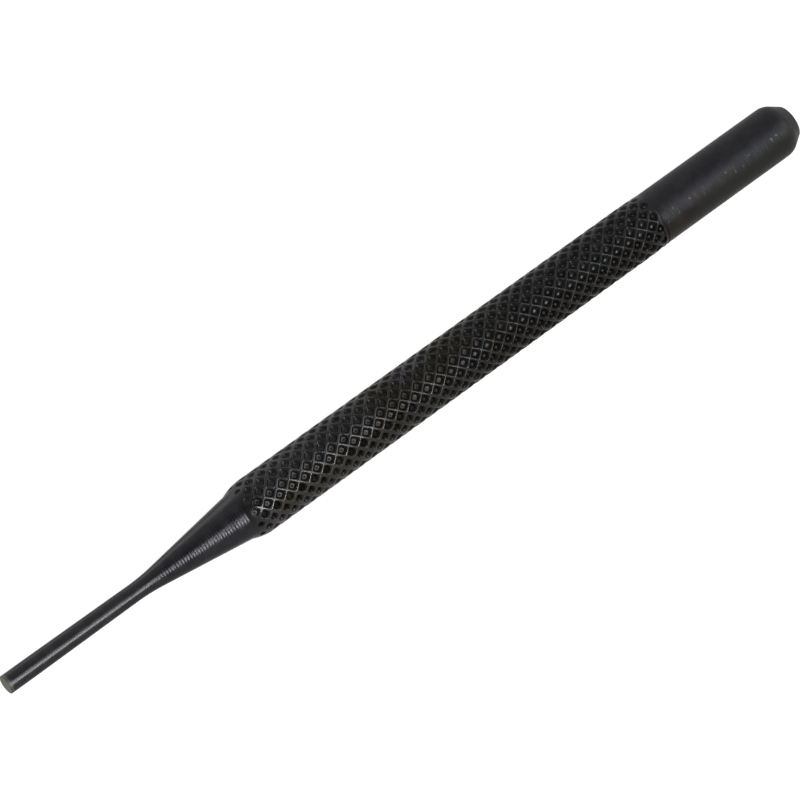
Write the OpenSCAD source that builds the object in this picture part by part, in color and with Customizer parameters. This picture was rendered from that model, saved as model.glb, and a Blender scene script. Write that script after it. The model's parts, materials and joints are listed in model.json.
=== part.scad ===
// Pin punch: a slim parallel pin on a tapered neck, fixed in a knurled steel handle with a bare striking head.
// It lies along X with the pin's tip at -X. The origin is under its middle, on the surface that it rests on.
// Lengths along the punch are counted from the tip, in millimetres.

/* [Pin] */
// Diameter of the pin at its tip
pin_d = 2.38; // [1.8:0.01:3]
// Length of the pin, from the tip to the start of the neck's fillet
pin_len = 18.5; // [10:0.1:30]
// Length of the parallel land behind the tip
land_len = 4; // [2:0.1:8]
// How much the pin's radius is relieved at its root
pin_relief = 0.09; // [0:0.01:0.15]
// Broken edge round the tip
tip_break = 0.05; // [0.01:0.01:0.2]

/* [Neck] */
// Length of the tapered neck, with its fillet
neck_len = 15.6; // [10:0.1:25]
// Diameter of the neck where it seats on the handle
neck_d = 5.92; // [5.2:0.02:6.4]
// Length of the fillet between the pin and the taper
fillet_len = 3.6; // [1:0.1:8]

/* [Tail] */
// Diameter of the tail that holds the neck in the handle
tail_d = 3.4; // [2.6:0.1:4.4]
// Length of the tail
tail_len = 14; // [6:0.5:24]
// Gap round the tail in its socket
tail_clearance = 0.02; // [0.01:0.01:0.1]
// Room left past the end of the tail
socket_relief = 0.5; // [0.1:0.1:2]

/* [Grip] */
// Length of the knurled grip
grip_len = 64.2; // [40:0.1:90]
// Diameter over the knurl's ridges
grip_d = 7.06; // [7:0.01:8]
// Length of the rounded nose in front of the grip
nose_len = 2.7; // [1.5:0.1:5]
// Length of the run-out behind the grip
runout_len = 2.9; // [1:0.1:6]
// Step from the run-out down to the bare head
runout_step = 0.04; // [0.02:0.01:0.06]

/* [Knurl] */
// Number of ridges round the grip, each way
knurl_starts = 12; // [8:1:20]
// Distance along the grip between ridges that run the same way
knurl_pitch = 1.86; // [1.4:0.02:3]
// Depth of the pits between the ridges
knurl_depth = 0.38; // [0.1:0.01:0.6]

/* [Head] */
// Length of the bare head, with its crown
head_len = 22.3; // [12:0.1:35]
// Diameter of the bare head
head_d = 6.82; // [6:0.02:6.86]
// Diameter of the striking face
face_d = 4.4; // [3:0.02:5.4]
// Slope of the crown against the axis, in degrees
crown_angle = 33; // [20:1:50]
// Radius that blends the crown into the head
crown_blend_r = 2.3; // [0.5:0.1:2.8]

/* [Hidden] */

// Steel under a black oxide finish, a little lighter on the turned pin and neck
pin_colour = [0.19, 0.19, 0.20];
handle_colour = [0.12, 0.12, 0.13];

// Facets of the round shapes and steps of the curved outlines
round_fn = 96;
fillet_steps = 8;
blend_steps = 6;

// Length by which cuts pass the faces that they open
overrun = 1;

// Length by which the head reaches into the grip, less than the rear ring's plain edge is long
head_sink = 0.05;

// Stations along the punch
neck_at = pin_len;
shoulder_at = neck_at + neck_len;
head_at = shoulder_at + grip_len;
punch_len = head_at + head_len;

// Radii
tip_r = pin_d / 2;
root_r = tip_r - pin_relief;
neck_r = neck_d / 2;
tail_r = tail_d / 2;
grip_r = grip_d / 2;
head_r = head_d / 2;
face_r = face_d / 2;

// The neck's fillet is a parabola that leaves the pin level and meets the taper's slope
taper_slope = (neck_r - root_r) / (neck_len - fillet_len / 2);

// The nose is an arc that ends level with the ridges
nose_drop = grip_r - neck_r;
nose_r = (nose_len * nose_len + nose_drop * nose_drop) / (2 * nose_drop);

// The knurl is a lattice of rings, half a pitch apart, with a crest or a pit at every place round a ring
knurl_rings = round(2 * grip_len / knurl_pitch);
ring_gap = grip_len / knurl_rings;
columns = 2 * knurl_starts;
column_angle = 360 / columns;
// Corners stand out so that the flats between them touch the true diameter
corner_scale = 1 / cos(column_angle / 2);
pit_r = grip_r - knurl_depth;
runout_r = head_r + runout_step;

// The crown's blend ends where its tangent has the crown's slope
crown_top_r = head_r - crown_blend_r * (1 - cos(crown_angle));
crown_at = punch_len - (crown_top_r - face_r) / tan(crown_angle);
blend_at = crown_at - crown_blend_r * sin(crown_angle);

// Outline of the neck's fillet, as points of radius and length
function fillet_point(share) =
    let (run = share * fillet_len)
    [root_r + taper_slope * run * run / (2 * fillet_len), neck_at + run];

// Outline of the blend between the head and its crown
function blend_point(angle) =
    [head_r - crown_blend_r * (1 - cos(angle)), blend_at + crown_blend_r * sin(angle)];

// Radius that the nose leaves at a distance behind the shoulder
function nose_limit(run) =
    run >= nose_len ? grip_r : grip_r - nose_r + sqrt(nose_r * nose_r - pow(nose_len - run, 2));

// Radius that the run-out leaves at a distance behind the shoulder
function runout_limit(run) =
    let (left = grip_len - run)
    left >= runout_len ? grip_r : runout_r + (grip_r - runout_r) * left / runout_len;

function ridge_r(run) = corner_scale * min(nose_limit(run), runout_limit(run));

// The first and last rings are plain, and on the others every second place is a pit
function is_crest(ring, column) =
    ring == 0 || ring == knurl_rings || (ring + column) % 2 == 0;

function knurl_r(ring, column) =
    let (ridge = ridge_r(ring * ring_gap))
    is_crest(ring, column) ? ridge : min(ridge, pit_r);

function knurl_point(ring, column) =
    let (r = knurl_r(ring, column), angle = (column + 1 / 2) * column_angle)
    [r * cos(angle), r * sin(angle), shoulder_at + ring * ring_gap];

function knurl_index(ring, column) = ring * columns + column % columns;

// Two triangles between neighbouring places, split along the ridge that joins their crests
function knurl_faces(ring, column) =
    let (
        a = knurl_index(ring, column),
        b = knurl_index(ring, column + 1),
        c = knurl_index(ring + 1, column + 1),
        d = knurl_index(ring + 1, column)
    )
    (ring + column) % 2 == 0 ? [[a, c, b], [a, d, c]] : [[a, d, b], [b, d, c]];

// Lays a shape that stands on its tip along X, at the height at which the grip rests
module laid_down() {
    translate([-punch_len / 2, 0, grip_r]) rotate([0, 90, 0]) children();
}

// Pin, neck and tail, turned in one piece
module drive_pin() {
    outline = concat(
        [[0, 0], [tip_r - tip_break, 0], [tip_r, tip_break], [tip_r, land_len]],
        [for (step = [0 : fillet_steps]) fillet_point(step / fillet_steps)],
        [[neck_r, shoulder_at], [tail_r, shoulder_at]],
        [[tail_r, shoulder_at + tail_len], [0, shoulder_at + tail_len]]
    );
    color(pin_colour) laid_down() rotate_extrude($fn = round_fn) polygon(outline);
}

// Grip with its recessed diamond knurl
module knurl() {
    points = [
        for (ring = [0 : knurl_rings]) for (column = [0 : columns - 1]) knurl_point(ring, column)
    ];
    front = [[for (column = [0 : columns - 1]) knurl_index(0, column)]];
    back = [[for (column = [columns - 1 : -1 : 0]) knurl_index(knurl_rings, column)]];
    sides = [
        for (ring = [0 : knurl_rings - 1]) for (column = [0 : columns - 1])
            for (face = knurl_faces(ring, column)) face
    ];
    polyhedron(points, concat(front, sides, back));
}

// Bare head with its crown, started just inside the rear face of the grip
module head() {
    outline = concat(
        [[0, head_at - head_sink], [head_r, head_at - head_sink]],
        [for (step = [0 : blend_steps]) blend_point(crown_angle * step / blend_steps)],
        [[face_r, punch_len], [0, punch_len]]
    );
    rotate_extrude($fn = round_fn) polygon(outline);
}

// Socket that takes the tail
module socket() {
    translate([0, 0, shoulder_at - overrun])
        cylinder(r = tail_r + tail_clearance, h = overrun + tail_len + socket_relief, $fn = round_fn);
}

// Knurled grip and striking head, made from one bar
module knurled_handle() {
    color(handle_colour) laid_down() difference() {
        union() {
            knurl();
            head();
        }
        socket();
    }
}

drive_pin();
knurled_handle();
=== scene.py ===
"""A pin punch in black oxide steel, lying on a white surface under plain studio light."""

import json
import math

import bpy
import numpy as np
from mathutils import Matrix, Vector


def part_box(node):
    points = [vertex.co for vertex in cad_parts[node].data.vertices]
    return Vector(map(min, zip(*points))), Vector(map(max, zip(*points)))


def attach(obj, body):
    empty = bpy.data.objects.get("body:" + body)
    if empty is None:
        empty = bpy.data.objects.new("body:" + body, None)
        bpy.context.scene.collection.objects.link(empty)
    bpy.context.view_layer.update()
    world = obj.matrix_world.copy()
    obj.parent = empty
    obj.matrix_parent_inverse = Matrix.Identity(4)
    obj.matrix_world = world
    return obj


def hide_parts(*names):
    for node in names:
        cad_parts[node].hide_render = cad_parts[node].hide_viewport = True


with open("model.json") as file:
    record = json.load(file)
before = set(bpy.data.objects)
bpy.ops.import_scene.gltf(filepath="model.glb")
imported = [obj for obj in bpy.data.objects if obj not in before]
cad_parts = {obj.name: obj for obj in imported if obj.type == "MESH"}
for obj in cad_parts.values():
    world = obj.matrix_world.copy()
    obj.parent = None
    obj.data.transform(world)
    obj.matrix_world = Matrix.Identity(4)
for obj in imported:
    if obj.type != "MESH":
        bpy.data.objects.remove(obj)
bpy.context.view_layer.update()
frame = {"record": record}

MM = 0.001

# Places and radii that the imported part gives
MOUNTS = {mount["name"]: mount for mount in frame["record"]["mounts"]}
PIN_LOW, PIN_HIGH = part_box("drive_pin")
HANDLE_LOW, HANDLE_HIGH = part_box("knurled_handle")
TIP_X = PIN_LOW.x
TAIL_X = PIN_HIGH.x
SHOULDER_X = HANDLE_LOW.x
END_X = HANDLE_HIGH.x
AXIS_Z = MOUNTS["pin_land"]["pos_m"][2]
TIP_R = MOUNTS["pin_land"]["dims"]["r_mm"] * MM
HEAD_R = MOUNTS["head_shank"]["dims"]["r_mm"] * MM
NECK_R = PIN_HIGH.y
GRIP_R = HANDLE_HIGH.y

# Pin and neck
LAND_LEN = 4.0 * MM
PIN_LEN = 18.5 * MM
PIN_RELIEF = 0.09 * MM
TIP_BREAK = 0.05 * MM
FILLET_LEN = 3.6 * MM
TAIL_R = 1.7 * MM

# Handle
GRIP_LEN = 64.2 * MM
HEAD_X = SHOULDER_X + GRIP_LEN
NOSE_LEN = 2.7 * MM
RUNOUT_LEN = 2.9 * MM
RUNOUT_STEP = 0.04 * MM
FACE_R = 2.2 * MM
CROWN_ANGLE = math.radians(33)
CROWN_BLEND_R = 2.3 * MM
SOCKET_CLEARANCE = 0.02 * MM
SOCKET_RELIEF = 0.5 * MM

# Knurl: starts each way, rings of crests along the grip, and mesh steps from one ring or column to the next
KNURL_STARTS = 12
KNURL_RINGS = 69
KNURL_STEPS = 10
KNURL_DEPTH = 0.38 * MM

# Meshes: points round the pieces, stations of the outlines, and the angles past which edges are sharp
PIN_COLUMNS = 192
COLUMNS = 2 * KNURL_STARTS * KNURL_STEPS
LAND_STATIONS = 9
RELIEF_STATIONS = 25
FILLET_STATIONS = 13
TAPER_STATIONS = 25
HEAD_STATIONS = 30
BLEND_STATIONS = 11
CROWN_STATIONS = 7
PIN_SHARP = math.radians(30)
HANDLE_SHARP = math.radians(50)

# Hands have worn the front of the grip most, and its look, with its painted highlights and painted shade,
# changes from front to rear over this stretch
WORN_STRETCH = (12.0 * MM, 46.0 * MM)

# Degrees from the top, towards the camera's side, over which the flanks and the broad sides begin
NEAR_FLANK = (38.0, 52.0)
FAR_FLANK = (18.0, 2.0)
NEAR_SIDE = (44.0, 62.0)
FAR_SIDE = (14.0, -30.0)
# Share of its breadth that the near side has, in front and behind
NEAR_SIDE_SHARE = (1.0, 0.4)

# Shape of the pits, in front and behind: land of the ridges, round shoulder, and power of the bowl
RIDGE_LAND = (0.04, 0.015)
PIT_SHOULDER = (0.35, 0.15)
BOWL_POWER = (4.0, 2.0)
# Land that the broad sides add
SIDE_LAND = 0.10
# Power that rounds the corners of the pits, and a share that keeps it finite on the ridges
PIT_ROUNDING = 3
TINY = 1e-6
# Distance from the bare head over which the pits begin, and how uneven the ridges are
KNURL_END = (0.3 * MM, 1.1 * MM)
RIDGE_WOBBLE = 0.015 * MM
WOBBLE_SEED = 5

# Grooves that the tool left round the rear end of the grip, deep in some places and shallow in others
GROOVE_PLACES = (0.20 * MM, 0.75 * MM)
GROOVE_DEPTHS = (0.10 * MM, 0.05 * MM)
GROOVE_HALF = 0.20 * MM
GROOVE_WAVES = 6
GROOVE_SEED = 192
# Painted shade in the grooves
GROOVE_SHADE = 0.85

# Worn steel and painted highlight show at these shares of a pit's depth: on the ridges and, behind, on the
# floors too
RIDGE_DEPTH = (0.12, 0.0)
PIT_FLOOR_DEPTH = (0.94, 0.99)
# Worn steel with painted highlight on the ridges, and their polish, in front and behind
RIDGE_WEAR_AND_GLINT = (1.0, 0.1)
RIDGE_POLISH = (1.0, 0.6)

# How far into a pit its black residue and painted shade begin and are whole, and the same where they keep
# to the core
RESIDUE_AND_SHADE_FROM = (0.22, 0.42)
CORE_FROM = (0.42, 0.48)
# How much they keep to the core on the near flank, in front and behind, and on the far flank
NEAR_CORE = (0.8, 0.4)
FAR_CORE = 0.6
# Share of residue and painted shade, in front and behind, what the near flank adds, and what the far flank
# loses in front
RESIDUE_AND_SHADE_SHARE = (0.55, 0.62)
NEAR_ADDED = (0.5, 0.65)
FAR_LOST = 0.25
# Least and most that a pit is filled, and the same on the far flank in front
FILL = (0.5, 1.5)
FAR_FILL = (0.1, 1.9)
FILL_SEED = 7
# Along the top in front, the residue and painted shade leave the pits from this far in, and keep a spot in
# the middle
WIPED_FROM = (0.54, 0.62)
WIPED_SHARE = 0.9
SPOT_FROM = (0.78, 0.90)
SPOT_SHARE = 0.85
# Smudges on the far flank
SMUDGE_FROM = (0.45, 0.85)
SMUDGE_SHARE = 0.45
SMUDGE_SEED = 11

# Places along the punch for the finishes, in millimetres from its middle
TIP_AT = TIP_X / MM
SHOULDER_AT = SHOULDER_X / MM
HEAD_AT = HEAD_X / MM
END_AT = END_X / MM

# Noises of the finishes: how often they vary in a millimetre along each axis, and their detail
PIN_MOTTLE = ((0.9, 0.9, 0.9), 4.0)
PIN_RIPPLE = ((3.0, 0.2, 0.2), 2.0)
PIN_GRAIN = ((22.0, 6.0, 6.0), 2.0)
TIP_MOTTLE = ((2.5, 2.5, 2.5), 4.0)
TIP_SCRATCHES = ((4.0, 20.0, 3.0), 3.0)
HANDLE_MOTTLE = ((0.8, 0.8, 0.8), 4.0)
HANDLE_SPECKS = ((3.5, 3.5, 3.5), 3.0)
HANDLE_GRAIN = ((14.0, 14.0, 14.0), 2.0)
STAIN_PATCHES = ((0.14, 0.3, 0.3), 2.0)
HEAD_RINGS = ((4.5, 0.2, 0.2), 3.0)
HEAD_BRUSHING = ((5.0, 0.8, 0.8), 2.0)
HEAD_NICKS = ((2.6, 1.3, 1.3), 1.0)

# Spans of those noises that the finishes use
SHADE_SPAN = (0.35, 0.7)
ROUGH_SPAN = (0.3, 0.7)
SPECK_SPAN = (0.35, 0.65)

# Bands of the tool's marks: how wavy and how fine, and the radians that Blender's bands turn in each unit
BAND_DISTORTION = 2.0
BAND_DETAIL = 2.0
BAND_TURN = 20

# All the black film is mostly metal
FILM_METALLIC = 0.9

# Pin and neck: dark and pale film, bare edge of the tip, and reflection at grazing angles
PIN_FILM = ((0.029, 0.029, 0.030), (0.037, 0.037, 0.0375))
NECK_FILM = ((0.024, 0.024, 0.027), (0.031, 0.031, 0.034))
TIP_EDGE = (0.10, 0.096, 0.085)
PIN_GRAZING = (0.73, 0.73, 0.74)
PIN_ROUGHNESS = (0.25, 0.31)
TIP_EDGE_ROUGHNESS = 0.25
# Where they change along the pin, and the shares at both ends of that stretch
TAPER_START = ((TIP_AT + 18.3, TIP_AT + 24.3), (0.25, 1.0))
TIP_EDGE_END = ((TIP_AT + 0.2, TIP_AT + 0.5), (0.9, 0.0))
# Rings of the tool, ripple and grain, in millimetres
PIN_RING_GAP = 0.37
PIN_RING_DEPTH = 0.010
PIN_RIPPLE_DEPTH = 0.025
PIN_GRAIN_DEPTH = 0.003

# End of the tip: dark and pale bare steel
TIP_STEEL = ((0.125, 0.12, 0.104), (0.225, 0.2175, 0.1925))
TIP_METALLIC = 0.8
TIP_GRAZING = (0.7, 0.7, 0.68)
TIP_ROUGHNESS = (0.42, 0.6)
TIP_SCRATCH_DEPTH = 0.006

# Film of the handle: dark and pale on the grip and on the head
GRIP_FILM = ((0.0165, 0.0165, 0.0165), (0.0225, 0.0225, 0.0225))
HEAD_FILM = ((0.0190, 0.0187, 0.0208), (0.0248, 0.0245, 0.0270))
# Other colours of it, and the stretches along X or Y, in millimetres, with the shares at both ends
HEAD_START = (HEAD_AT - 0.3, HEAD_AT + 0.3)
HEAD_FLANK = (-1.9, -3.0)
# Painted reflection along the far side
FAR_SIDE_SHEEN = (0.035, 0.035, 0.035)
FAR_SIDE_SHEEN_START = ((1.0, 2.4), (0.0, 0.9))
OLIVE_FILM = (0.0215, 0.0212, 0.0192)
OLIVE_START = (HEAD_AT + 3.0, HEAD_AT + 8.0)
# Painted reflection on the crown
CROWN_SHEEN = (0.042, 0.042, 0.041)
CROWN_SHEEN_START = ((END_AT - 3.3, END_AT - 1.0), (0.0, 0.7))
# Paler film towards the front
PALE_FRONT_FILM = (0.045, 0.045, 0.046)
PALE_FRONT_END = ((SHOULDER_AT + 0.2, SHOULDER_AT + 44.2), (0.66, 0.0))
# Painted shade on the rounded nose
NOSE_SHADE = (0.014, 0.014, 0.015)
NOSE_SHADE_END = ((SHOULDER_AT + 1.4, SHOULDER_AT + 3.6), (0.5, 0.0))

# Brown stain: its tint, and the stretches in which it begins and ends
STAIN_TINT = (0.95, 0.79, 0.55)
STAIN_START = (SHOULDER_AT + 1.7, SHOULDER_AT + 4.7)
STAIN_END = ((HEAD_AT + 1.0, HEAD_AT + 8.0), (1.0, 0.0))
STAIN_SPECKS = (0.7, 1.0)
# It covers the near flank, and starts further out behind than in front
STAIN_FLANK = (-1.2, -2.8)
STAIN_SHIFT = ((SHOULDER_AT + 14.2, SHOULDER_AT + 34.2), (0.0, 0.7))
FLANK_PATCHES = ((0.42, 0.6), (0.75, 1.0))
# Midway along the grip it covers patches all round, and heat has browned the head's near flank by the grip
MIDWAY_START = (SHOULDER_AT + 14.2, SHOULDER_AT + 24.2)
MIDWAY_END = ((HEAD_AT - 28.0, HEAD_AT - 20.0), (1.0, 0.0))
MIDWAY_PATCHES = ((0.40, 0.55), (0.0, 0.9))
HEAT_END = ((HEAD_AT + 1.0, HEAD_AT + 8.0), (0.9, 0.0))

# Worn steel with painted highlight, broken by specks, and left out as painted shade on the top and far side
# in front
WORN_GLINT_STEEL = (0.06, 0.06, 0.0605)
WORN_GLINT_SPECKS = (0.6, 1.2)
UNLIT_SIDE_START = (-1.2, -0.2)
UNLIT_SIDE_END = ((SHOULDER_AT + 16.2, SHOULDER_AT + 32.2), (1.0, 0.0))

# Brushing and nicks on the head, painted lighter as highlights in a strip along Y where the sheen falls,
# and their colours
SHEEN_STRIP_START = (-2.9, -2.4)
SHEEN_STRIP_END = ((-1.9, -1.4), (1.0, 0.0))
BRUSHED_GLINT_STEEL = (0.05, 0.05, 0.052)
BRUSHING_SPAN = ((0.52, 0.70), (0.0, 0.4))
NICK_GLINT_STEEL = (0.10, 0.10, 0.10)
NICK_SPAN = ((0.68, 0.73), (0.0, 0.7))

# Residue and painted shade in the knurl
RESIDUE_AND_SHADE_BLACK = (0.003, 0.003, 0.003)

# Roughness of the handle, what the head and the residue add to it, and what polish takes off
HANDLE_ROUGHNESS = (0.30, 0.38)
HEAD_ROUGHNESS = 0.11
RESIDUE_ROUGHNESS = 0.25
POLISH_ROUGHNESS = 0.16

# Reflection of the handle at grazing angles
GRIP_GRAZING = (1.0, 1.0, 1.0)
HEAD_GRAZING = (0.83, 0.83, 0.83)
RESIDUE_GRAZING = (0.4, 0.4, 0.4)

# Rings of the tool on the head, strongest by the grip, and grain, in millimetres
HEAD_RING_DEPTH = 0.035
TURNED_GAP = 0.33
TURNED_DEPTH = 0.028
TURNED_END = ((HEAD_AT + 1.2, HEAD_AT + 3.8), (1.0, 0.05))
TURNED_SPECKS = (0.4, 1.0)
HANDLE_GRAIN_DEPTH = 0.006

# Floor: it keeps the shadow, glows to the camera, and shows reflections a share of that glow
FLOOR_HALF = 4.0
FLOOR_COLOUR = (0.35, 0.35, 0.35)
FLOOR_ROUGHNESS = 0.9
FLOOR_SPECULAR = 0.0
FLOOR_GLOW_COLOUR = (1.0, 1.0, 1.0)
FLOOR_GLOW = 0.8
MIRRORED_SHARE = 0.62

# Studio: direction of the dim gap in its pale walls, and colours by the cosine of the angle from there
DIM_GAP = (-0.35, -0.41, 0.84)
STUDIO_STOPS = (
    (0.2, (0.92, 0.92, 0.92)),
    (0.7, (0.62, 0.62, 0.64)),
    (0.93, (0.28, 0.28, 0.29)),
    (0.985, (0.06, 0.06, 0.06)),
)

# Strips of light: their ends, width and the place that they face, in millimetres from the punch's middle
WHITE_LIGHT = (1.0, 1.0, 1.0)
COOL_LIGHT = (0.9, 0.95, 1.0)
LIGHTS = {
    "key": {
        "ends": ((20, -268, 133), (-19, -160, 253)),
        "width": 25,
        "faces": (-30, 0, 0),
        "power": 0.33,
        "colour": WHITE_LIGHT,
    },
    "pin": {
        "ends": ((45, -258, 135), (45, -238, 165)),
        "width": 25,
        "faces": (-50, 0, 0),
        "power": 0.17,
        "colour": WHITE_LIGHT,
    },
    "sky": {
        "ends": ((394, -117, 336), (156, -381, 336)),
        "width": 225,
        "faces": (48, 0, 0),
        "power": 0.85,
        "colour": COOL_LIGHT,
    },
    "back": {
        "ends": ((180, 740, 220), (-280, 720, 220)),
        "width": 350,
        "faces": (0, 0, 0),
        "power": 0.9,
        "colour": WHITE_LIGHT,
    },
}

# Camera: where the photograph looks from, what it aims at, and its lens and sensor in millimetres
VIEW_AZIMUTH = math.radians(-40.56)
VIEW_ELEVATION = math.radians(57.3)
AIM_FROM_TIP = 58.75 * MM
AIM_ASIDE = 0.13 * MM
CAMERA_DISTANCE = 585.7 * MM
LENS = 225.0
SENSOR = 36.0
CLIP_START = 0.01
CLIP_END = 20.0


def smoothstep(low, high, value):
    """0 up to low, 1 from high on, and a smooth way between them, also where low is the larger."""
    share = np.clip((value - low) / (high - low), 0, 1)
    return share * share * (3 - 2 * share)


def blend(first, second, share):
    """A share of the way from one value to another."""
    return first + (second - first) * share


def blend_pairs(first, second, share):
    """A share of the way from both values of a pair to those of another."""
    return [blend(one, other, share) for one, other in zip(first, second)]


def uneven(rows, columns, step, seed):
    """Smooth seeded noise from 0 to 1 on a grid that closes on itself across its columns."""
    coarse = np.random.default_rng(seed).random((rows // step + 2, columns // step))
    row = np.arange(rows) / step
    column = np.arange(columns) / step
    low = row.astype(int)
    left = column.astype(int)
    right = (left + 1) % coarse.shape[1]
    down = (row - low)[:, None]
    over = (column - left)[None, :]
    upper = coarse[np.ix_(low, left)] * (1 - over) + coarse[np.ix_(low, right)] * over
    lower = coarse[np.ix_(low + 1, left)] * (1 - over) + coarse[np.ix_(low + 1, right)] * over
    return upper * (1 - down) + lower * down


def ring_points(x, radius, columns):
    """Rows of points round the punch's axis: one row for each x, with its radius, or radii, all round."""
    angle = np.arange(columns) * 2 * math.pi / columns
    radius = np.broadcast_to(np.reshape(radius, (len(x), -1)), (len(x), columns))
    rows = np.empty((len(x), columns, 3))
    rows[..., 0] = np.reshape(x, (-1, 1))
    rows[..., 1] = radius * np.sin(angle)
    rows[..., 2] = AXIS_Z - radius * np.cos(angle)
    return rows


def side_faces(points, count, columns):
    """Two triangles between neighbouring points of two rows, split along the more level diagonal."""
    row, column = np.meshgrid(np.arange(count - 1), np.arange(columns), indexing="ij")
    a = (row * columns + column).ravel()
    b = (row * columns + (column + 1) % columns).ravel()
    c = b + columns
    d = a + columns
    height = np.hypot(points[:, 1], points[:, 2] - AXIS_Z)
    along_ac = np.abs(height[a] - height[c]) <= np.abs(height[b] - height[d])
    one = np.where(along_ac[:, None], np.stack([a, b, c], 1), np.stack([a, b, d], 1))
    two = np.where(along_ac[:, None], np.stack([a, c, d], 1), np.stack([b, c, d], 1))
    return np.stack([one, two], 1).reshape(-1, 3)


def turned_mesh(name, rows, first_x, last_x):
    """A closed mesh from rows of points, with a fan of triangles to the axis at both ends."""
    count, columns = rows.shape[:2]
    points = rows.reshape(-1, 3)
    ends = np.array([[first_x, 0, AXIS_Z], [last_x, 0, AXIS_Z]])
    first_end, last_end = len(points), len(points) + 1
    around = np.arange(columns)
    after = (around + 1) % columns
    last_row = (count - 1) * columns
    first_fan = np.stack([np.full(columns, first_end), after, around], 1)
    last_fan = np.stack([np.full(columns, last_end), last_row + around, last_row + after], 1)
    faces = np.concatenate([first_fan, side_faces(points, count, columns), last_fan])
    mesh = bpy.data.meshes.new(name)
    mesh.from_pydata(np.concatenate([points, ends]).tolist(), [], faces.tolist())
    mesh.update()
    return mesh


def shade_smooth(mesh, sharp_angle):
    """Smooth shading with sharp edges where faces meet at more than an angle."""
    mesh.shade_smooth()
    mesh.set_sharp_from_angle(angle=sharp_angle)


def add_piece(mesh, node):
    """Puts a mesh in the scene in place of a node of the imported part."""
    piece = bpy.data.objects.new(mesh.name, mesh)
    bpy.context.scene.collection.objects.link(piece)
    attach(piece, "root")
    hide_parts(node)


def pin_outline():
    """Stations and radii of the pin, neck and tail, from the tip."""
    root_r = TIP_R - PIN_RELIEF
    neck_len = SHOULDER_X - TIP_X - PIN_LEN
    slope = (NECK_R - root_r) / (neck_len - FILLET_LEN / 2)
    land = np.linspace(TIP_BREAK, LAND_LEN, LAND_STATIONS)
    relief = np.linspace(LAND_LEN, PIN_LEN, RELIEF_STATIONS)[1:-1]
    fillet = np.linspace(0, FILLET_LEN, FILLET_STATIONS)
    taper = np.linspace(FILLET_LEN, neck_len, TAPER_STATIONS)[1:]
    x = np.concatenate([[0], land, relief, PIN_LEN + fillet, PIN_LEN + taper]) + TIP_X
    radius = np.concatenate([
        [TIP_R - TIP_BREAK],
        np.full(len(land), TIP_R),
        TIP_R - PIN_RELIEF * (relief - LAND_LEN) / (PIN_LEN - LAND_LEN),
        root_r + slope * fillet ** 2 / (2 * FILLET_LEN),
        root_r + slope * (taper - FILLET_LEN / 2),
    ])
    x = np.concatenate([x, [SHOULDER_X, TAIL_X]])
    radius = np.concatenate([radius, [TAIL_R, TAIL_R]])
    return x, radius


def head_outline():
    """Stations and radii of the bare head and its crown."""
    crown_top_r = HEAD_R - CROWN_BLEND_R * (1 - math.cos(CROWN_ANGLE))
    crown_x = END_X - (crown_top_r - FACE_R) / math.tan(CROWN_ANGLE)
    blend_x = crown_x - CROWN_BLEND_R * math.sin(CROWN_ANGLE)
    plain = np.linspace(HEAD_X, blend_x, HEAD_STATIONS)[:-1]
    angle = np.linspace(0, CROWN_ANGLE, BLEND_STATIONS)
    crown = np.linspace(0, 1, CROWN_STATIONS)[1:]
    x = np.concatenate([
        plain,
        blend_x + CROWN_BLEND_R * np.sin(angle),
        blend(crown_x, END_X, crown),
    ])
    radius = np.concatenate([
        np.full(len(plain), HEAD_R),
        HEAD_R - CROWN_BLEND_R * (1 - np.cos(angle)),
        blend(crown_top_r, FACE_R, crown),
    ])
    return x, radius


class Grip:
    """Places on the grip, with a row for each station along it and a column for each point round it."""

    def __init__(self, x):
        self.run = (x - SHOULDER_X)[:, None]
        self.left = GRIP_LEN - self.run
        self.to_rear = smoothstep(*WORN_STRETCH, self.run)
        self.column = np.arange(COLUMNS)[None, :]
        from_top = self.column * 360 / COLUMNS - 180
        self.near = smoothstep(*NEAR_FLANK, from_top)
        self.far = smoothstep(*FAR_FLANK, from_top)
        near_side = smoothstep(*NEAR_SIDE, from_top) * self.along(NEAR_SIDE_SHARE)
        self.aside = np.maximum(near_side, smoothstep(*FAR_SIDE, from_top))

    def along(self, pair):
        """A value that is the first of a pair in front and the second behind."""
        return blend(*pair, self.to_rear)

    def uneven(self, step, seed):
        """Smooth seeded noise all over the grip."""
        return uneven(len(self.run), COLUMNS, step, seed)


def ridge_distance(share):
    """Distance from the nearest of a family of ridges, as a share of the way from one to the next."""
    return np.abs(share - np.round(share))


def ridge_share(ring, column):
    """Distance from the nearest ridge of both families, from 0 to 1/2, rounded where two are as near."""
    one = ridge_distance((ring + column) / 2) + TINY
    other = ridge_distance((ring - column) / 2) + TINY
    return (2 / (one ** -PIT_ROUNDING + other ** -PIT_ROUNDING)) ** (1 / PIT_ROUNDING)


def into_pits(grip):
    """How far into a pit each point lies, from 0 on the land of a ridge to 1 in the middle of a pit."""
    ring = grip.run / GRIP_LEN * KNURL_RINGS
    near = ridge_share(ring, grip.column / KNURL_STEPS - 1 / 2)
    land = grip.along(RIDGE_LAND) + SIDE_LAND * grip.aside
    return np.clip((near - land) / (1 / 2 - land), 0, 1)


def pit_depth(share, shoulder, power):
    """Depth from 0 on a ridge to 1 in the middle of a pit: a round shoulder, then a bowl."""
    left = 1 - shoulder
    bowl_scale = 1 / (left ** power + power * shoulder * left ** (power - 1) / 2)
    shoulder_scale = bowl_scale * power * left ** (power - 1) / (2 * shoulder)
    rounded = shoulder_scale * share ** 2
    bowl = 1 - bowl_scale * (1 - share) ** power
    return np.where(share < shoulder, rounded, bowl)


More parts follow.
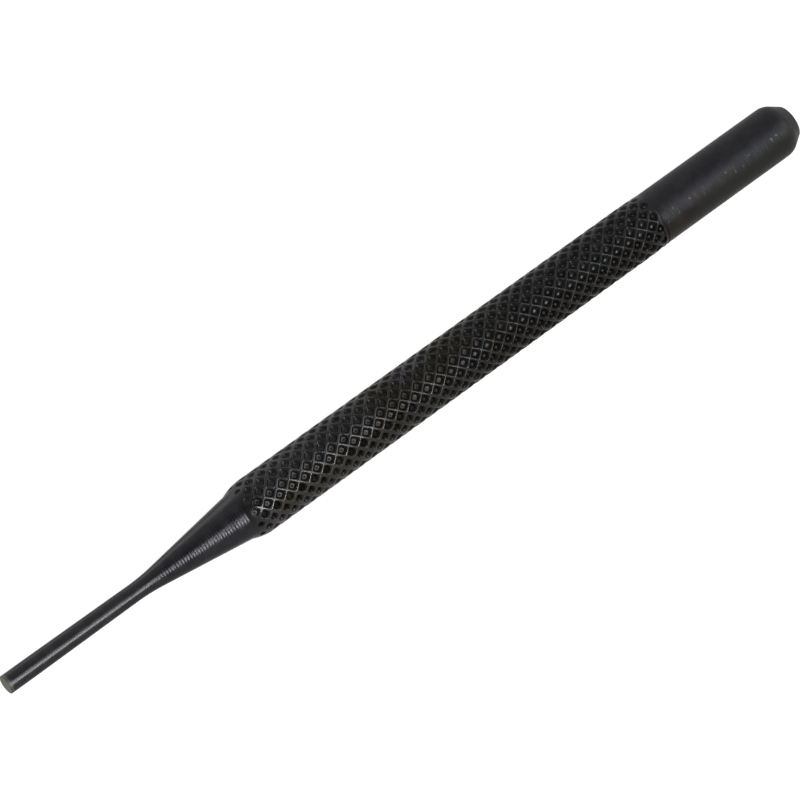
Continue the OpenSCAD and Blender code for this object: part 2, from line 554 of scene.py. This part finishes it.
def plain_grip(grip):
    """Radii that the rounded nose and the run-out leave."""
    drop = GRIP_R - NECK_R
    nose_r = (NOSE_LEN ** 2 + drop ** 2) / (2 * drop)
    short = np.clip(NOSE_LEN - grip.run, 0, None)
    nose = GRIP_R - nose_r + np.sqrt(nose_r ** 2 - short ** 2)
    runout = blend(HEAD_R + RUNOUT_STEP, GRIP_R, np.clip(grip.left / RUNOUT_LEN, 0, 1))
    return np.minimum(nose, runout)


def tool_grooves(grip):
    """How far each groove at the rear end of the grip has bitten in, from 0 to 1."""
    bite = uneven(1, COLUMNS, COLUMNS // GROOVE_WAVES, GROOVE_SEED)
    return [bite * smoothstep(GROOVE_HALF, 0, np.abs(grip.left - place)) for place in GROOVE_PLACES]


def pit_residue_and_shade(grip, into, in_pit, floor_glint):
    """Share of black residue and painted shade in the pits, with spots along the top and smudges on the far
    flank.
    """
    far_front = grip.far * (1 - grip.to_rear)
    top_front = (1 - grip.to_rear) * (1 - grip.near) * (1 - grip.far)
    core = np.maximum(grip.along(NEAR_CORE) * grip.near, FAR_CORE * grip.far)
    in_depth = smoothstep(*blend_pairs(RESIDUE_AND_SHADE_FROM, CORE_FROM, core), into) * (1 - floor_glint) * in_pit
    share = grip.along(RESIDUE_AND_SHADE_SHARE) + grip.along(NEAR_ADDED) * grip.near - FAR_LOST * far_front
    filled = blend(*blend_pairs(FILL, FAR_FILL, far_front), grip.uneven(KNURL_STEPS, FILL_SEED))
    smudge = smoothstep(*SMUDGE_FROM, grip.uneven(KNURL_STEPS // 2, SMUDGE_SEED)) * grip.far
    wiped = smoothstep(*WIPED_FROM, into) * top_front
    spot = smoothstep(*SPOT_FROM, into) * top_front * in_pit
    return np.maximum.reduce([
        np.clip(share * filled, 0, 1) * in_depth * (1 - WIPED_SHARE * wiped),
        np.clip(SPOT_SHARE * filled, 0, 1) * spot,
        SMUDGE_SHARE * smudge * in_pit,
    ])


def grip_shape(x):
    """Radii of the knurled grip at each station and all round, and the residue with painted shade, the wear
    with painted highlight, and the polish on it.
    """
    grip = Grip(x)
    into = into_pits(grip)
    sunk = pit_depth(into, grip.along(PIT_SHOULDER), grip.along(BOWL_POWER))
    wobble = RIDGE_WOBBLE * grip.uneven(KNURL_STEPS, WOBBLE_SEED)
    knurled = GRIP_R - (KNURL_DEPTH * sunk + wobble) * smoothstep(*KNURL_END, grip.left)
    plain = plain_grip(grip)
    grooves = tool_grooves(grip)
    for depth, groove in zip(GROOVE_DEPTHS, grooves):
        plain = plain - depth * groove
    radius = np.minimum(knurled, plain)
    in_pit = radius < plain
    # Pit floors behind, painted lighter as highlights
    floor_glint = smoothstep(*PIT_FLOOR_DEPTH, sunk) * grip.to_rear * in_pit
    on_ridge = smoothstep(*RIDGE_DEPTH, sunk) * smoothstep(0, NOSE_LEN / 2, grip.run)
    # Black residue and painted shade in the pits
    residue_and_shade = pit_residue_and_shade(grip, into, in_pit, floor_glint)
    # Painted shade in the grooves
    for groove in grooves:
        residue_and_shade = np.maximum(residue_and_shade, GROOVE_SHADE * groove)
    # Worn steel and painted highlight on the ridges and on the pit floors behind
    wear_and_glint = on_ridge * grip.along(RIDGE_WEAR_AND_GLINT) + floor_glint
    polish = on_ridge * grip.along(RIDGE_POLISH) * (1 - grip.aside) + floor_glint
    return radius, {"residue_and_shade": residue_and_shade, "wear_and_glint": wear_and_glint, "polish": polish}


class Nodes:
    """Adds nodes to the tree of a material or a world and joins them."""

    def __init__(self, owner, shader="Principled BSDF"):
        owner.use_nodes = True
        self.tree = owner.node_tree
        self.shader = self.tree.nodes[shader]

    def add(self, kind, **settings):
        node = self.tree.nodes.new("ShaderNode" + kind)
        for name, value in settings.items():
            setattr(node, name, value)
        return node

    def join(self, value, socket):
        """Sets a socket: another node's output is linked, and a plain value or colour is kept on it."""
        if isinstance(value, bpy.types.NodeSocket):
            self.tree.links.new(value, socket)
        elif socket.type == "RGBA":
            socket.default_value = (*value, 1.0)
        else:
            socket.default_value = value

    def feed(self, name, value):
        """Sets one of the shader's own sockets."""
        self.join(value, self.shader.inputs[name])

    def math(self, operation, first, second):
        node = self.add("Math", operation=operation)
        self.join(first, node.inputs[0])
        self.join(second, node.inputs[1])
        return node.outputs[0]

    def times(self, first, *others):
        """The product of several values."""
        for other in others:
            first = self.math("MULTIPLY", first, other)
        return first

    def ramp(self, value, span, to=(0.0, 1.0)):
        """A span of a value mapped to another one, smoothly and with limits."""
        node = self.add("MapRange", interpolation_type="SMOOTHSTEP")
        for setting, socket in zip((value, *span, *to), node.inputs):
            self.join(setting, socket)
        return node.outputs[0]

    def mix(self, share, first, second, kind="MIX"):
        """A share of the way from one colour to another."""
        node = self.add("Mix", data_type="RGBA", blend_type=kind)
        self.join(share, node.inputs["Factor"])
        self.join(first, node.inputs["A"])
        self.join(second, node.inputs["B"])
        return node.outputs["Result"]


class Finish(Nodes):
    """A material of the punch, laid out by the place of each point in millimetres."""

    def __init__(self, name):
        self.material = bpy.data.materials.new(name)
        super().__init__(self.material)
        scaled = self.add("VectorMath", operation="SCALE")
        self.join(self.add("TexCoord").outputs["Object"], scaled.inputs[0])
        self.join(1 / MM, scaled.inputs["Scale"])
        self.place = scaled.outputs[0]

    def axes(self):
        """Place along each axis."""
        node = self.add("SeparateXYZ")
        self.join(self.place, node.inputs[0])
        return node.outputs

    def attribute(self, name):
        """A value that the mesh has on its points."""
        return self.add("Attribute", attribute_name=name).outputs["Fac"]

    def noise(self, per_mm, detail):
        """Noise that varies so often in a millimetre along each axis."""
        mapping = self.add("Mapping")
        self.join(self.place, mapping.inputs["Vector"])
        self.join(per_mm, mapping.inputs["Scale"])
        node = self.add("TexNoise")
        self.join(mapping.outputs[0], node.inputs["Vector"])
        self.join(1.0, node.inputs["Scale"])
        self.join(detail, node.inputs["Detail"])
        return node.outputs["Fac"]

    def bands(self, gap_mm):
        """Wavy bands across X, one for each gap."""
        node = self.add("TexWave", wave_type="BANDS", bands_direction="X")
        self.join(self.place, node.inputs["Vector"])
        self.join(2 * math.pi / (BAND_TURN * gap_mm), node.inputs["Scale"])
        self.join(BAND_DISTORTION, node.inputs["Distortion"])
        self.join(BAND_DETAIL, node.inputs["Detail"])
        return node.outputs["Fac"]

    def bump(self, height, depth_mm, before=None):
        """A bump of a height from 0 to 1 times a depth, on top of another one."""
        node = self.add("Bump")
        self.join(height, node.inputs["Height"])
        self.join(1.0, node.inputs["Strength"])
        self.join(depth_mm * MM, node.inputs["Distance"])
        if before is not None:
            self.join(before, node.inputs["Normal"])
        return node.outputs[0]


def pin_finish():
    """Turned and blackened steel, with a ring for each pass of the tool on the taper."""
    finish = Finish("black_oxide_pin")
    x = finish.axes()["X"]
    mottle = finish.noise(*PIN_MOTTLE)
    on_taper = finish.ramp(x, *TAPER_START)
    at_tip = finish.ramp(x, *TIP_EDGE_END)
    shade = finish.ramp(mottle, SHADE_SPAN)
    on_pin = finish.mix(shade, *PIN_FILM)
    on_neck = finish.mix(shade, *NECK_FILM)
    film = finish.mix(on_taper, on_pin, on_neck)
    rough = finish.ramp(mottle, ROUGH_SPAN, PIN_ROUGHNESS)
    rings = finish.times(finish.bands(PIN_RING_GAP), on_taper)
    ripple = finish.times(finish.noise(*PIN_RIPPLE), on_taper)
    relief = finish.bump(rings, PIN_RING_DEPTH)
    relief = finish.bump(ripple, PIN_RIPPLE_DEPTH, relief)
    relief = finish.bump(finish.noise(*PIN_GRAIN), PIN_GRAIN_DEPTH, relief)
    finish.feed("Base Color", finish.mix(at_tip, film, TIP_EDGE))
    finish.feed("Metallic", FILM_METALLIC)
    finish.feed("Specular Tint", PIN_GRAZING)
    finish.feed("Roughness", finish.math("ADD", rough, finish.times(at_tip, TIP_EDGE_ROUGHNESS)))
    finish.feed("Normal", relief)
    return finish.material


def tip_finish():
    """Bare ground steel on the end of the pin."""
    finish = Finish("bare_steel_tip")
    mottle = finish.noise(*TIP_MOTTLE)
    scratches = finish.noise(*TIP_SCRATCHES)
    finish.feed("Base Color", finish.mix(mottle, *TIP_STEEL))
    finish.feed("Metallic", TIP_METALLIC)
    finish.feed("Specular Tint", TIP_GRAZING)
    finish.feed("Roughness", finish.ramp(scratches, ROUGH_SPAN, TIP_ROUGHNESS))
    finish.feed("Normal", finish.bump(scratches, TIP_SCRATCH_DEPTH))
    return finish.material


class HandleFinish(Finish):
    """Blackened steel: residue and painted shade in the knurl, brown stains, worn steel with painted
    highlights, and fine rings and nicks on the bare head, the nicks painted as highlights.
    """

    def __init__(self):
        super().__init__("black_oxide_handle")
        axes = self.axes()
        self.x = axes["X"]
        self.y = axes["Y"]
        self.mottle = self.noise(*HANDLE_MOTTLE)
        self.specks = self.noise(*HANDLE_SPECKS)
        # Black residue and painted shade in the pits and grooves, from the mesh
        self.residue_and_shade = self.attribute("residue_and_shade")
        self.on_head = self.ramp(self.x, HEAD_START)
        self.head_flank = self.ramp(self.y, HEAD_FLANK)
        self.feed("Base Color", self.colour())
        self.feed("Metallic", FILM_METALLIC)
        self.feed("Specular Tint", self.grazing())
        self.feed("Roughness", self.roughness())
        self.feed("Normal", self.relief())

    def colour(self):
        """The film with its stains, worn steel with painted highlight, painted shade on the nose and marks
        painted as highlights, under the residue and painted shade.
        """
        stain = self.stain()
        stained = self.mix(stain, self.film(), STAIN_TINT, "MULTIPLY")
        # Worn steel and painted highlight over the stained film
        worn_and_glint = self.mix(self.worn_and_glint(stain), stained, WORN_GLINT_STEEL)
        # Painted shade on the nose
        nose_shaded = self.mix(self.ramp(self.x, *NOSE_SHADE_END), worn_and_glint, NOSE_SHADE)
        # Black residue and painted shade over the rest
        return self.mix(self.residue_and_shade, self.glint_marks(nose_shaded), RESIDUE_AND_SHADE_BLACK)

    def film(self):
        """Black film, with a painted reflection on the far side and the crown, an olive flank on the head
        and a paler front.
        """
        shade = self.ramp(self.mottle, SHADE_SPAN)
        on_grip = self.mix(shade, *GRIP_FILM)
        # Painted reflection along the far side
        on_grip = self.mix(self.ramp(self.y, *FAR_SIDE_SHEEN_START), on_grip, FAR_SIDE_SHEEN)
        olive = self.times(self.head_flank, self.ramp(self.x, OLIVE_START))
        bare = self.mix(shade, *HEAD_FILM)
        bare = self.mix(olive, bare, OLIVE_FILM)
        # Painted reflection on the crown
        bare = self.mix(self.ramp(self.x, *CROWN_SHEEN_START), bare, CROWN_SHEEN)
        film = self.mix(self.on_head, on_grip, bare)
        # Paler towards the front
        return self.mix(self.ramp(self.x, *PALE_FRONT_END), film, PALE_FRONT_FILM)

    def stain(self):
        """Share of brown stain: on the near flank, in patches midway, and by heat on the head."""
        patches = self.noise(*STAIN_PATCHES)
        flank = self.math("ADD", self.y, self.ramp(self.x, *STAIN_SHIFT))
        on_flank = self.times(self.ramp(flank, STAIN_FLANK), self.ramp(patches, *FLANK_PATCHES))
        midway = self.times(self.ramp(self.x, MIDWAY_START), self.ramp(self.x, *MIDWAY_END))
        in_patches = self.times(midway, self.ramp(patches, *MIDWAY_PATCHES))
        stain = self.times(
            self.math("MAXIMUM", on_flank, in_patches),
            self.ramp(self.specks, SPECK_SPAN, STAIN_SPECKS),
            self.ramp(self.x, STAIN_START),
            self.ramp(self.x, *STAIN_END),
        )
        heat = self.times(self.ramp(self.x, *HEAT_END), self.head_flank, self.on_head)
        return self.math("MAXIMUM", stain, heat)

    def worn_and_glint(self, stain):
        """Share of worn steel with painted highlight, broken by specks, where there is no stain, and left
        out as painted shade on the top and far side in front.
        """
        # Painted shade: no worn steel on the top and far side in front
        unlit_side = self.times(self.ramp(self.y, UNLIT_SIDE_START), self.ramp(self.x, *UNLIT_SIDE_END))
        return self.times(
            self.attribute("wear_and_glint"),
            self.ramp(stain, (0.0, 1.0), (1.0, 0.0)),
            self.ramp(self.specks, SPECK_SPAN, WORN_GLINT_SPECKS),
            self.math("SUBTRACT", 1.0, unlit_side),
        )

    def glint_marks(self, colour):
        """Brushing and nicks painted lighter as highlights in a strip along the head, where the sheen
        falls.
        """
        # Painted highlights: brushing and nicks only in the strip where the sheen falls
        sheen_strip = self.times(self.on_head, self.ramp(self.y, SHEEN_STRIP_START), self.ramp(self.y, *SHEEN_STRIP_END))
        brushing_glints = self.times(sheen_strip, self.ramp(self.noise(*HEAD_BRUSHING), *BRUSHING_SPAN))
        nick_glints = self.times(sheen_strip, self.ramp(self.noise(*HEAD_NICKS), *NICK_SPAN))
        brushed_glints = self.mix(brushing_glints, colour, BRUSHED_GLINT_STEEL)
        return self.mix(nick_glints, brushed_glints, NICK_GLINT_STEEL)

    def roughness(self):
        rough = self.ramp(self.mottle, ROUGH_SPAN, HANDLE_ROUGHNESS)
        rough = self.math("ADD", rough, self.times(self.on_head, HEAD_ROUGHNESS))
        rough = self.math("SUBTRACT", rough, self.times(self.attribute("polish"), POLISH_ROUGHNESS))
        return self.math("ADD", rough, self.times(self.residue_and_shade, RESIDUE_ROUGHNESS))

    def grazing(self):
        """Reflection at grazing angles, weakest on the residue."""
        steel = self.mix(self.on_head, GRIP_GRAZING, HEAD_GRAZING)
        return self.mix(self.residue_and_shade, steel, RESIDUE_GRAZING)

    def relief(self):
        """Rings of the tool on the head, and grain."""
        rings = self.times(self.noise(*HEAD_RINGS), self.on_head)
        turned = self.times(
            self.bands(TURNED_GAP),
            self.on_head,
            self.ramp(self.x, *TURNED_END),
            self.ramp(self.specks, SPECK_SPAN, TURNED_SPECKS),
        )
        relief = self.bump(rings, HEAD_RING_DEPTH)
        relief = self.bump(turned, TURNED_DEPTH, relief)
        return self.bump(self.noise(*HANDLE_GRAIN), HANDLE_GRAIN_DEPTH, relief)


def drive_pin():
    """Pin, neck and tail, with bare steel on the end of the tip."""
    x, radius = pin_outline()
    mesh = turned_mesh("drive_pin_turned", ring_points(x, radius, PIN_COLUMNS), TIP_X, TAIL_X)
    add_piece(mesh, "drive_pin")
    shade_smooth(mesh, PIN_SHARP)
    mesh.materials.append(pin_finish())
    mesh.materials.append(tip_finish())
    # Only the faces of the flat end have their middles in front of the broken edge's
    for face in mesh.polygons:
        face.material_index = int(face.center.x < TIP_X + TIP_BREAK / 4)


def knurled_handle():
    """Knurled grip and bare head, with the socket for the tail, and what its finish needs on its points."""
    grip_x = np.linspace(SHOULDER_X, HEAD_X, KNURL_RINGS * KNURL_STEPS + 1)
    grip_r, marks = grip_shape(grip_x)
    head_x, head_r = head_outline()
    socket_x = TAIL_X + SOCKET_RELIEF
    socket_r = TAIL_R + SOCKET_CLEARANCE
    socket = ring_points([socket_x, SHOULDER_X], [socket_r, socket_r], COLUMNS)
    grip = ring_points(grip_x, grip_r, COLUMNS)
    head = ring_points(head_x, head_r, COLUMNS)
    mesh = turned_mesh("knurled_handle_turned", np.concatenate([socket, grip, head]), socket_x, END_X)
    first = socket.shape[0] * COLUMNS
    for name, share in marks.items():
        on_points = np.zeros(len(mesh.vertices))
        on_points[first:first + share.size] = share.ravel()
        mesh.attributes.new(name, "FLOAT", "POINT").data.foreach_set("value", on_points)
    add_piece(mesh, "knurled_handle")
    shade_smooth(mesh, HANDLE_SHARP)
    mesh.materials.append(HandleFinish().material)


def floor_finish():
    """A pale surface that glows where the camera or a reflection sees it."""
    material = bpy.data.materials.new("white_surface")
    nodes = Nodes(material)
    ray = nodes.add("LightPath").outputs
    seen = nodes.math("MAXIMUM", ray["Is Camera Ray"], ray["Is Transmission Ray"])
    mirrored = nodes.times(ray["Is Glossy Ray"], MIRRORED_SHARE)
    nodes.feed("Base Color", FLOOR_COLOUR)
    nodes.feed("Roughness", FLOOR_ROUGHNESS)
    nodes.feed("Specular IOR Level", FLOOR_SPECULAR)
    nodes.feed("Emission Color", FLOOR_GLOW_COLOUR)
    nodes.feed("Emission Strength", nodes.times(nodes.math("MAXIMUM", seen, mirrored), FLOOR_GLOW))
    return material


def white_floor():
    """A wide flat surface under the punch."""
    half = FLOOR_HALF
    corners = [(-half, -half, 0), (half, -half, 0), (half, half, 0), (-half, half, 0)]
    mesh = bpy.data.meshes.new("floor")
    mesh.from_pydata(corners, [], [(0, 1, 2, 3)])
    mesh.materials.append(floor_finish())
    floor = bpy.data.objects.new("floor", mesh)
    bpy.context.scene.collection.objects.link(floor)


def studio_world():
    """Soft surroundings: pale all round and dim in the gap that the photograph was taken through."""
    world = bpy.data.worlds.new("studio")
    bpy.context.scene.world = world
    nodes = Nodes(world, "Background")
    towards = nodes.add("VectorMath", operation="DOT_PRODUCT")
    nodes.join(nodes.add("TexCoord").outputs["Generated"], towards.inputs[0])
    nodes.join(DIM_GAP, towards.inputs[1])
    ramp = nodes.add("ValToRGB")
    nodes.join(towards.outputs["Value"], ramp.inputs[0])
    stops = ramp.color_ramp.elements
    first, *between, last = STUDIO_STOPS
    for stop, (place, colour) in zip(stops, (first, last)):
        stop.position = place
        stop.color = (*colour, 1.0)
    for place, colour in between:
        stops.new(place).color = (*colour, 1.0)
    nodes.feed("Color", ramp.outputs[0])


def strip_light(name, ends, width, faces, power, colour):
    """A soft strip of light between two ends that faces a place."""
    light = bpy.data.lights.new(name, "AREA")
    light.shape = "RECTANGLE"
    one_end, other_end, faced = (Vector(place) * MM for place in (*ends, faces))
    light.size = (one_end - other_end).length
    light.size_y = width * MM
    light.energy = power
    light.color = colour
    lamp = bpy.data.objects.new(name, light)
    bpy.context.scene.collection.objects.link(lamp)
    middle = (one_end + other_end) / 2
    along = (one_end - other_end).normalized()
    across = (middle - faced).cross(along).normalized()
    turn = Matrix((along, across, along.cross(across))).transposed()
    lamp.matrix_world = Matrix.Translation(middle + Vector((0, 0, AXIS_Z))) @ turn.to_4x4()
    lamp.visible_camera = False


def photo_camera():
    """The camera, at the photograph's viewing angle."""
    data = bpy.data.cameras.new("camera")
    data.lens = LENS
    data.sensor_width = SENSOR
    data.clip_start = CLIP_START
    data.clip_end = CLIP_END
    camera = bpy.data.objects.new("camera", data)
    bpy.context.scene.collection.objects.link(camera)
    level = math.cos(VIEW_ELEVATION)
    back = Vector((
        math.sin(VIEW_AZIMUTH) * level,
        -math.cos(VIEW_AZIMUTH) * level,
        math.sin(VIEW_ELEVATION),
    ))
    aim = Vector((TIP_X + AIM_FROM_TIP, AIM_ASIDE, AXIS_Z))
    camera.location = aim + back * CAMERA_DISTANCE
    camera.rotation_euler = (-back).to_track_quat("-Z", "Y").to_euler()
    bpy.context.scene.camera = camera


photo_camera()
white_floor()
studio_world()
for name, settings in LIGHTS.items():
    strip_light(name, **settings)
drive_pin()
knurled_handle()

bpy.context.scene.view_settings.view_transform = "Standard"
